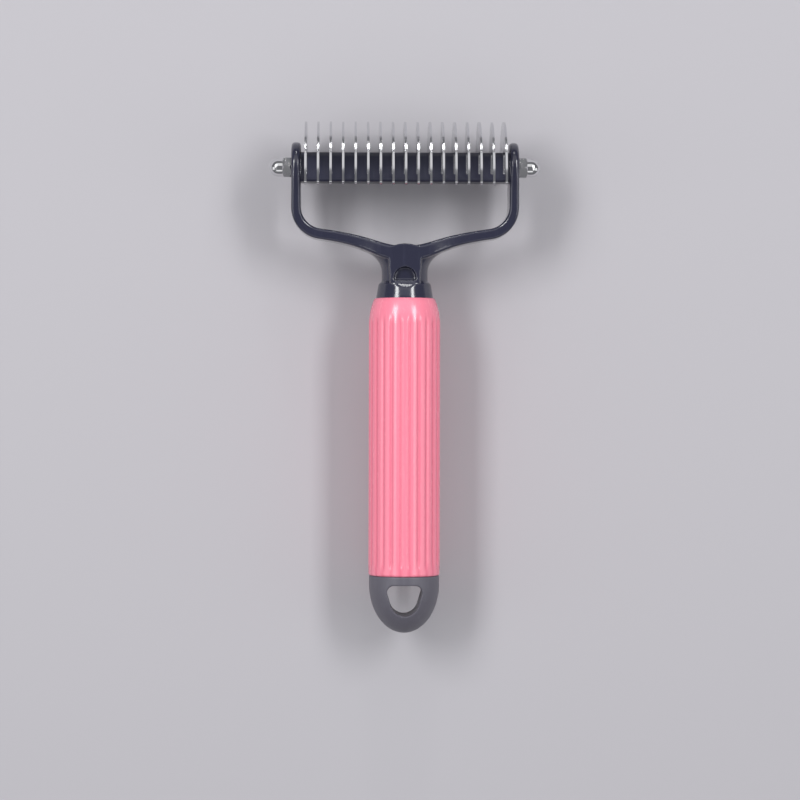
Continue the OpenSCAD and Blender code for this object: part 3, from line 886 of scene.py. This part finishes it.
round_centre = (NECK_RADIUS + COLLAR_STEP - COLLAR_ROUND, collar_top - COLLAR_ROUND)
collar_profile = [(COLLAR_RADIUS, collar_base - OVERLAP), (COLLAR_RADIUS, collar_base)]
collar_profile += arc(round_centre, COLLAR_ROUND, 0, 90, 10)
collar_profile += [(NECK_RADIUS - 2 * OVERLAP, collar_top)]
collar = turned("collar", collar_profile, COLLAR_STEPS)
edit(collar)
for side in (-1, 1):
    slice_off((0, collar_top - FACET_DROP, side * FACET_OUT),
              (0, math.sin(FACET_SLOPE), side * math.cos(FACET_SLOPE)))
bpy.ops.object.mode_set(mode="OBJECT")
faces_outwards(collar)
print("collar faces:", len(collar.data.polygons))

# %% Yoke: the panel
PANEL_OUT, PANEL_FOOT, PANEL_HEAD = 8.6, 10.6, 12.4
PANEL_DOME, PANEL_RISE, PANEL_SINK = 12.0, 3.8, 0.6

panel_low, panel_top = collar_top - PANEL_SINK, web_end[1] + PANEL_RISE
clear_selection()
bpy.ops.mesh.primitive_cylinder_add(vertices=256, radius=PANEL_DOME * MM, depth=2 * PANEL_OUT * MM,
                                    location=(0, (panel_top - PANEL_DOME) * MM, 0))
panel = placed("panel")
edit(panel)
lean = math.atan2((PANEL_HEAD - PANEL_FOOT) / 2, neck_top - panel_low)
for side in (-1, 1):
    slice_off((side * PANEL_FOOT / 2, panel_low, 0), (side * math.cos(lean), -math.sin(lean), 0))
slice_off((0, panel_low, 0), (0, -1, 0))
bpy.ops.object.mode_set(mode="OBJECT")
faces_outwards(panel)
print("panel faces:", len(panel.data.polygons))

# %% [markdown]
# ### Arched recesses
#
# The panel has an arched recess at its foot, front and back. In the mould a round-ended
# pad forms it. Here a half disc and a block under it are the cutters, so the recess is
# round at its top and straight at its foot, just above the collar.

# %% Yoke: arched recesses, front and back
ARCH_WIDTH, ARCH_DEPTH = 8.0, 2.6
ARCH_GAP, ARCH_STRAIGHT = 0.3, 0.9

arch_low = collar_top + ARCH_GAP
arch_middle = arch_low + ARCH_STRAIGHT
for side in (-1, 1):
    clear_selection()
    bpy.ops.mesh.primitive_cylinder_add(vertices=96, radius=ARCH_WIDTH / 2 * MM, depth=2 * ARCH_DEPTH * MM,
                                        location=(0, arch_middle * MM, side * PANEL_OUT * MM))
    arch = placed("arch_round")
    clear_selection()
    bpy.ops.mesh.primitive_cube_add(size=1, scale=(ARCH_WIDTH * MM, ARCH_STRAIGHT * MM, 2 * ARCH_DEPTH * MM),
                                    location=(0, (arch_low + arch_middle) / 2 * MM, side * PANEL_OUT * MM))
    foot = placed("arch_foot")
    edit(arch)
    slice_off((0, arch_middle, 0), (0, -1, 0))
    bpy.ops.object.mode_set(mode="OBJECT")
    carve([neck, panel], [arch, foot])
print("panel faces with its recesses:", len(panel.data.polygons))

# %% [markdown]
# ### One moulding
#
# So far four shapes only overlap. A voxel remesh wraps them in one skin with even small
# faces, and smoothing rolls its edges and inner corners over, as in a mould. Fillets
# made one by one would be sharper work, but hard to carry across such a junction.

# %% Yoke: one moulding
YOKE_VOXEL, YOKE_SMOOTHINGS = 0.33, 7

yoke = join("yoke_moulding", [half_yoke, neck, collar, panel])
finish_with(yoke, "REMESH", mode="VOXEL", voxel_size=YOKE_VOXEL * MM, use_smooth_shade=True)
finish_with(yoke, "SMOOTH", factor=SMOOTH_FACTOR, iterations=YOKE_SMOOTHINGS)
faces_outwards(yoke)
work_on(yoke)
bpy.ops.object.shade_smooth()
dress(yoke, black_plastic, "black_plastic", "comb", "yoke")

# %% [markdown]
# ## The rigid metal parts and the holder
#
# The blades, the holder, the axle and the nuts are plain engineered shapes, and the
# frame's own nodes already have their bevels, slots and chamfers. They keep their
# meshes and get their finishes here.

# %% Finish the frame's own nodes
def finish_node(name, material):
    """Puts a material on a node of the frame"""
    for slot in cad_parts[name].material_slots:
        slot.material = material


finish_node("blade_holder", holder_plastic)
finish_node("axle", axle_steel)
for name in ("nut_left", "nut_right"):
    finish_node(name, nut_chrome)
for number in range(1, blade_count + 1):
    finish_node("blade_%02d" % number, blade_steel)
print("blades finished:", blade_count)

# %% [markdown]
# ## Finish
#
# The dressed comb must be as large as the frame and no larger. The last cell leaves
# nothing selected.

# %% Finish
clear_selection()
